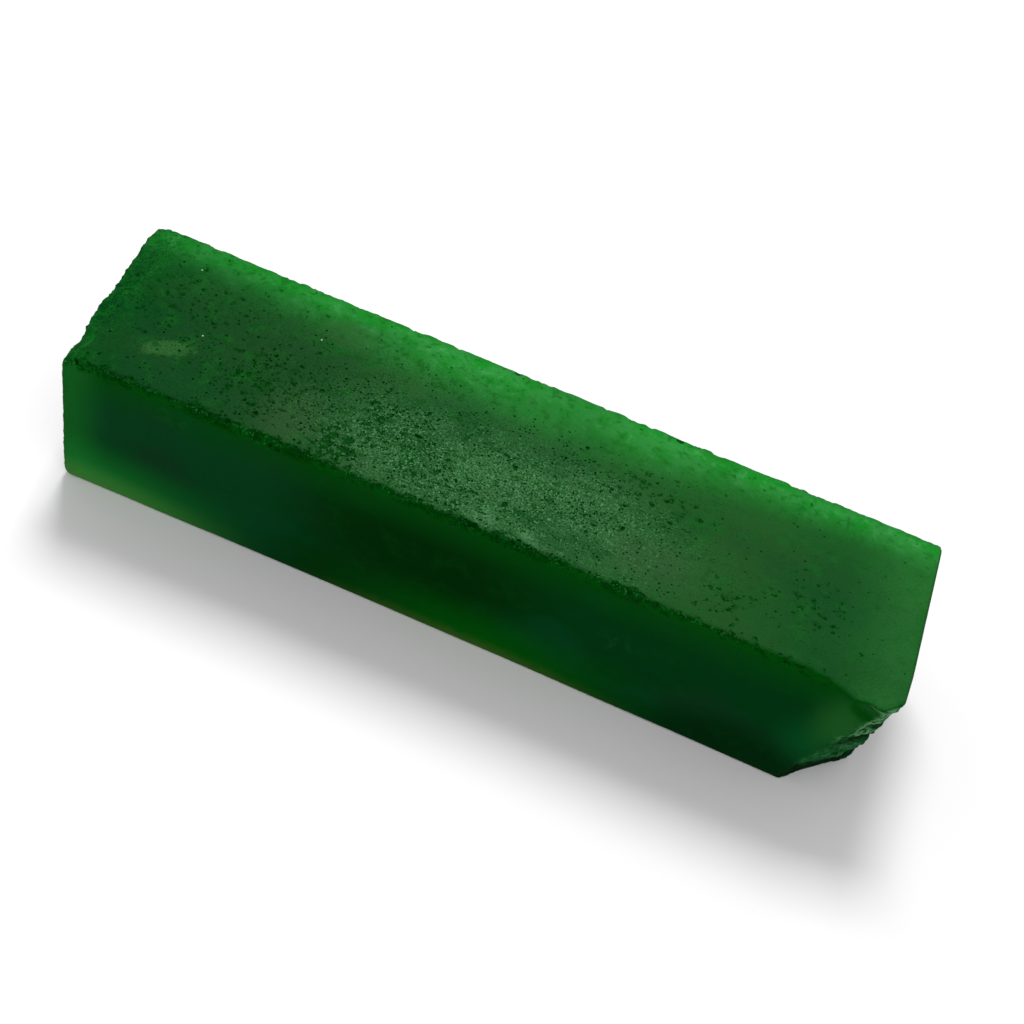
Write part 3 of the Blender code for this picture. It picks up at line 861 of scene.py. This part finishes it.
def rim_colour(paint):
    """The rough left end: bright green grains with dark gaps, and pale specks painted as glints."""
    return paint.coats(
        RIM.dark,
        (RIM.green, paint.fade(paint.mottle, 0.40, 0.62)),
        (RIM.back, paint.fade(paint.y, 0.0, 8.0, 0.0, 0.7)),
        (RIM.gaps, paint.fade(paint.grain, 0.50, 0.62, 0.0, 0.75)),
        # Painted glints: pale glittering specks on the grains
        (RIM.specks, paint.fade(paint.specks, 0.72, 0.82, 0.0, 0.8)),
    )


BREAK = palette(
    dark=(8, 68, 26),
    green=(30, 98, 46),
    pale=(94, 152, 100),
    lower=(48, 110, 64),
    pale_flecks=(80, 130, 98),
    dark_flecks=(2, 40, 12),
    crack=(0, 28, 6),
    ridge=(2, 38, 10),
    foot=(0, 20, 5),
)


def break_colour(paint):
    """The broken corner: pale streaks above its crack, greyer below it, a dark line of painted shade under
    its crest, and darker towards the bottom with painted shade.
    """
    ledge = paint.along_break(paint.place)
    down, along, _ = paint.parts(ledge)
    streaks = paint.noise(ledge, grain=0.22, detail=2, rough=0.7, stretch=(1.0, 4.5, 3.0), shift=23)
    flecks = paint.noise(ledge, grain=0.36, detail=1, rough=0.6, stretch=(1.0, 2.6, 2.0), shift=29)
    ragged = paint.total(down, paint.product(flecks, 1.2))
    pale = paint.product(paint.fade(down, 0.5, 2.0), paint.fade(down, 7.2, 5.4))
    lower = paint.product(
        paint.fade(along, -2.0, -4.4),
        paint.fade(down, 8.5, 9.2),
        paint.fade(down, 12.6, 11.8),
    )
    crack = paint.product(paint.bell(ragged, 8.6, 1.3), paint.fade(along, -0.5, -2.6, 0.4, 1.0))
    # Painted shade: a dark line under the crest of the higher ledges
    ridge = paint.product(paint.bell(ragged, 5.8, 0.6), paint.fade(along, -1.2, -2.4, 0.3, 0.9))
    return paint.coats(
        BREAK.dark,
        (BREAK.green, paint.fade(streaks, 0.38, 0.60)),
        (BREAK.pale, paint.product(paint.fade(streaks, 0.42, 0.60), pale, 0.88)),
        (BREAK.lower, paint.product(lower, paint.fade(streaks, 0.42, 0.58), 0.85)),
        (BREAK.pale_flecks, paint.product(paint.fade(flecks, 0.58, 0.72), lower, 0.6)),
        (BREAK.dark_flecks, paint.product(paint.fade(flecks, 0.48, 0.36), lower, 0.8)),
        (BREAK.crack, crack),
        (BREAK.ridge, ridge),
        # Painted shade, darker towards the bottom of the break
        (BREAK.foot, paint.fade(ragged, 11.8, 12.7, 0.0, 0.95)),
    )


HOLLOW = palette(green=(0, 64, 5), dark=(0, 44, 5))
CHIP = palette(green=(1, 66, 9), gaps=(0, 40, 4), crumbs=(36, 108, 48))
PITS = palette(left=(0, 54, 8), right=(6, 72, 20))
GLINT = tone(150, 204, 156)


def emerald_colour(paint, top, broken):
    """The stone's colour: its sides and top, then its hollows, breaks, chips, pits and glints."""
    torn = paint.torn(paint.place, paint.mark(TEARING))
    hollow = paint.coat(HOLLOW.green, HOLLOW.dark, paint.fade(paint.grain, 0.40, 0.60))
    near_top = paint.fade(paint.z, HIGH.z - 1.3, HIGH.z - 0.7)
    spots = paint.product(paint.fade(torn, -0.012, 0.012), near_top, 0.92)
    rough = paint.coat(rim_colour(paint), break_colour(paint), paint.fade(paint.x, -5.0, 5.0))
    short_of_end = paint.fade(paint.x, *EDGE_CHIPS)
    chipped = paint.coats(
        CHIP.green,
        (CHIP.gaps, paint.product(paint.fade(paint.mottle, 0.56, 0.44, 0.0, 0.8), short_of_end)),
        (CHIP.crumbs, paint.fade(paint.grain, 0.56, 0.66, 0.0, short_of_end)),
    )
    # The pits: the stone's unfrosted deep green, with painted shade making the hollows darker
    pitted = paint.coat(PITS.left, PITS.right, paint.fade(paint.x, 10.0, 24.0))
    return paint.coats(
        side_colour(paint),
        (top_colour(paint, torn), top),
        (hollow, spots),
        (rough, paint.product(broken, 0.95)),
        (chipped, paint.product(paint.mark(WORN), 0.85)),
        (pitted, paint.product(paint.mark(PIT), 0.85)),
        (GLINT, paint.glints()),
    )


def emerald_material():
    """Cloudy emerald: frosted on its sawn top and where it broke, and smoother on its sides."""
    material = bpy.data.materials.new("cloudy_emerald")
    material.use_nodes = True
    shader = material.node_tree.nodes["Principled BSDF"]
    paint = Paint(material)
    level_or_end = paint.most(
        paint.fade(paint.z, HIGH.z - 0.40, HIGH.z - 0.28),
        paint.fade(paint.x, *RIGHT_END),
        paint.fade(paint.x, LOW.x + 3.2, LOW.x + 2.4),
    )
    top = paint.product(paint.fade(paint.mark(SAWN_TOP), 0.35, 0.65), level_or_end)
    broken = paint.mark(BROKEN)
    frosted = paint.most(top, broken)
    paint.feed(shader.inputs["Base Color"], emerald_colour(paint, top, broken))

    smooth = paint.fade(paint.mottle, 0.3, 0.7, 0.26, 0.38)
    rough = paint.fade(paint.grain, 0.3, 0.7, 0.50, 0.70)
    roughness = paint.node("ShaderNodeMix", {0: frosted, 2: smooth, 3: rough}, data_type="FLOAT")
    paint.feed(shader.inputs["Roughness"], roughness.outputs[0])

    bump = paint.node("ShaderNodeBump", {
        "Height": paint.total(paint.grain, paint.product(paint.mottle, 0.6)),
        "Distance": GRAIN_HEIGHT * MM,
        "Strength": paint.total(paint.product(frosted, 0.6), 0.05),
    })
    paint.feed(shader.inputs["Normal"], bump.outputs[0])

    shader.inputs["IOR"].default_value = REFRACTION
    shader.inputs["Specular IOR Level"].default_value = SHEEN
    return material


def merged_copy(node):
    """The node's own mesh with its loose triangles joined, as a new object."""
    mesh = node.data.copy()
    shape = bmesh.new()
    shape.from_mesh(mesh)
    bmesh.ops.remove_doubles(shape, verts=shape.verts, dist=JOIN_REACH * MM)
    shape.to_mesh(mesh)
    shape.free()
    mesh.materials.clear()
    piece = bpy.data.objects.new("emerald_bar", mesh)
    bpy.context.scene.collection.objects.link(piece)
    return piece


def drop_crumbs(mesh):
    """Keeps only the largest connected part of a mesh."""
    shape = bmesh.new()
    shape.from_mesh(mesh)
    unseen = set(shape.verts)
    parts = []
    while unseen:
        edge = [unseen.pop()]
        part = set(edge)
        while edge:
            around = {link.other_vert(vert) for vert in edge for link in vert.link_edges}
            edge = list(around & unseen)
            unseen.difference_update(edge)
            part.update(edge)
        parts.append(part)
    parts.sort(key=len)
    crumbs = [vert for part in parts[:-1] for vert in part]
    bmesh.ops.delete(shape, geom=crumbs, context="VERTS")
    shape.to_mesh(mesh)
    shape.free()


def make_stone():
    """The bar: the node's mesh remeshed in even cells, broken up, thinned and pitted."""
    piece = merged_copy(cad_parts[STONE_NODE])
    remesh = piece.modifiers.new("even_cells", "REMESH")
    remesh.mode = "VOXEL"
    remesh.voxel_size = SKIN_CELL * MM
    use_tree(piece, fracture_tree(), FRACTURE_SIZES)
    thin = piece.modifiers.new("fewer_faces", "DECIMATE")
    thin.ratio = SKIN_KEPT
    use_tree(piece, pit_tree(emerald_material()), PIT_SIZES)
    ready = piece.evaluated_get(bpy.context.evaluated_depsgraph_get())
    finished = bpy.data.meshes.new_from_object(ready)
    piece.modifiers.clear()
    drop_crumbs(finished)
    piece.data = finished
    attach(piece, "root")
    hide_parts(STONE_NODE)


def make_floor():
    """A plain pale floor under the stone."""
    material = bpy.data.materials.new("pale_floor")
    material.use_nodes = True
    shader = material.node_tree.nodes["Principled BSDF"]
    shader.inputs["Base Color"].default_value = FLOOR_COLOUR
    shader.inputs["Roughness"].default_value = FLOOR_ROUGHNESS
    half = FLOOR_HALF * MM
    corners = [(-half, -half, 0), (half, -half, 0), (half, half, 0), (-half, half, 0)]
    mesh = bpy.data.meshes.new("floor")
    mesh.from_pydata(corners, [], [(0, 1, 2, 3)])
    mesh.materials.append(material)
    floor = bpy.data.objects.new("floor", mesh)
    bpy.context.scene.collection.objects.link(floor)


def make_light(name, place, size, power):
    """A soft square lamp, facing the middle of the floor."""
    lamp = bpy.data.lights.new(name, "AREA")
    lamp.size = size * MM
    lamp.energy = power
    light = bpy.data.objects.new(name, lamp)
    light.location = Vector(place) * MM
    light.rotation_euler = (-Vector(place)).to_track_quat("-Z", "Y").to_euler()
    bpy.context.scene.collection.objects.link(light)


def make_studio():
    """A white room with two soft lamps, and the camera."""
    scene = bpy.context.scene
    scene.view_settings.view_transform = "Standard"
    world = bpy.data.worlds.new("soft_room")
    world.use_nodes = True
    scene.world = world
    backdrop = world.node_tree.nodes["Background"]
    backdrop.inputs["Color"].default_value = (1, 1, 1, 1)
    backdrop.inputs["Strength"].default_value = ROOM_LIGHT
    for name, (place, size, power) in LAMPS.items():
        make_light(name, place, size, power)

    lens = bpy.data.cameras.new("camera")
    lens.lens = LENS
    lens.sensor_width = SENSOR
    lens.clip_start = NEAREST_SEEN * MM
    camera = bpy.data.objects.new("camera", lens)
    camera.location = Vector(CAMERA_PLACE) * MM
    camera.rotation_euler = Euler([math.radians(angle) for angle in CAMERA_TURN], "XYZ")
    scene.collection.objects.link(camera)
    scene.camera = camera


make_studio()
make_floor()
make_stone()
